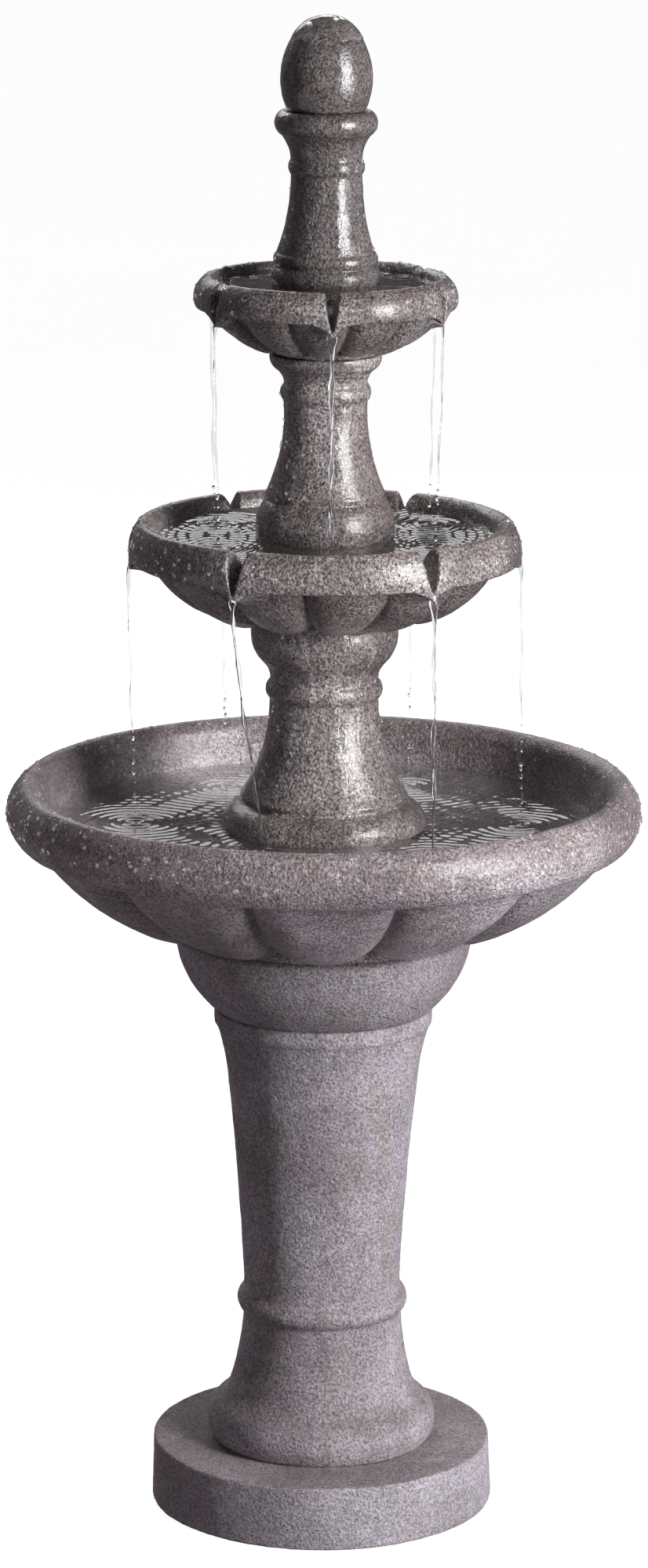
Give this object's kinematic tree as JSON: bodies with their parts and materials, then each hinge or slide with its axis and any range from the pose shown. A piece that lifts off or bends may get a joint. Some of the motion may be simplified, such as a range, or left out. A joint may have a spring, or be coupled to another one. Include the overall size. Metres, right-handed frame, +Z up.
{
  "type": "tiered water fountain",
  "caption": "Free-standing tiered garden fountain: lobed stone-effect bowls with spout notches on turned stems, an egg finial, a pedestal on a round plinth and a pump inside.",
  "frame": {"origin": "centre of the plinth's underside, on the ground", "axes": "+Z up along the fountain's axis, -Y towards the front, where the upper bowl has a spout and the lower bowl a lobe, +X to the right"},
  "size_m": [0.5118, 0.5118, 1.219],
  "materials": {
    "plinth_stone": "matt, dry, fine pitted",
    "pedestal_stone": "matt, dry, mottled lilac-grey with brown patches",
    "wet_stone": "wet, mottled grey-brown, fine pitted, glossy",
    "glossy_wet_stone": "under a film of running water, very glossy",
    "zinc_steel": "zinc plated",
    "black_rubber": "matt",
    "clear_vinyl": "milky clear tube",
    "black_plastic": "moulded, satin",
    "core_steel": "stacked laminations",
    "copper_winding": "enamelled winding",
    "epoxy": "cast",
    "shaft_ceramic": "ground",
    "ferrite": "sintered, dull",
    "white_plastic": "moulded",
    "blue_plastic": "moulded"
  },
  "bodies": {
    "base": {"plinth": "plinth_stone", "pedestal_column": "pedestal_stone", "pedestal_capital": "pedestal_stone", "plinth_bolts": "zinc_steel", "plinth_washers": "zinc_steel", "plinth_cord_grommet": "black_rubber"},
    "lower_bowl": {"lower_bowl": "wet_stone", "bowl_cord_seal": "black_rubber", "supply_hose": "clear_vinyl", "pump_casing": "black_plastic", "stator_core": "core_steel", "stator_coil": "copper_winding", "potting": "epoxy", "volute_cover": "black_plastic", "rotor_shaft": "shaft_ceramic", "shaft_bushes": "black_rubber", "intake_strainer": "black_plastic", "suction_feet": "black_rubber", "pump_cord_gland": "black_rubber"},
    "drain_plug": {"drain_plug": "black_rubber"},
    "pump_rotor": {"rotor_magnet": "ferrite", "impeller": "white_plastic"},
    "flow_dial": {"flow_dial": "blue_plastic"},
    "lower_stem": {"lower_stem": "wet_stone"},
    "middle_bowl": {"middle_bowl": "wet_stone", "middle_hub_seal": "black_rubber"},
    "middle_stem": {"middle_stem": "wet_stone"},
    "upper_bowl": {"upper_bowl": "wet_stone", "upper_hub_seal": "black_rubber"},
    "finial": {"finial_stem": "wet_stone", "egg_finial": "glossy_wet_stone", "water_outlet": "black_plastic"}
  },
  "joints": [
    {"name": "lower_bowl_lift", "type": "slide", "parent": "base", "child": "lower_bowl", "axis": [0, 0, 1], "range_m": [0, 0.05]},
    {"name": "drain_plug_pull", "type": "slide", "parent": "lower_bowl", "child": "drain_plug", "axis": [0, 0, 1], "range_m": [0, 0.04]},
    {"name": "pump_spin", "type": "hinge", "parent": "lower_bowl", "child": "pump_rotor", "pos_m": [0, 0, 0.526], "axis": [0, -1, 0], "continuous": true},
    {"name": "flow_dial_turn", "type": "hinge", "parent": "lower_bowl", "child": "flow_dial", "pos_m": [0, 0, 0.526], "axis": [0, -1, 0], "range_deg": [0, 45]},
    {"name": "lower_stem_lift", "type": "slide", "parent": "lower_bowl", "child": "lower_stem", "axis": [0, 0, 1], "range_m": [0, 0.72]},
    {"name": "middle_bowl_lift", "type": "slide", "parent": "lower_stem", "child": "middle_bowl", "axis": [0, 0, 1], "range_m": [0, 0.48]},
    {"name": "middle_stem_lift", "type": "slide", "parent": "middle_bowl", "child": "middle_stem", "axis": [0, 0, 1], "range_m": [0, 0.46]},
    {"name": "upper_bowl_lift", "type": "slide", "parent": "middle_stem", "child": "upper_bowl", "axis": [0, 0, 1], "range_m": [0, 0.27]},
    {"name": "finial_lift", "type": "slide", "parent": "upper_bowl", "child": "finial", "axis": [0, 0, 1], "range_m": [0, 0.25]}
  ]
}
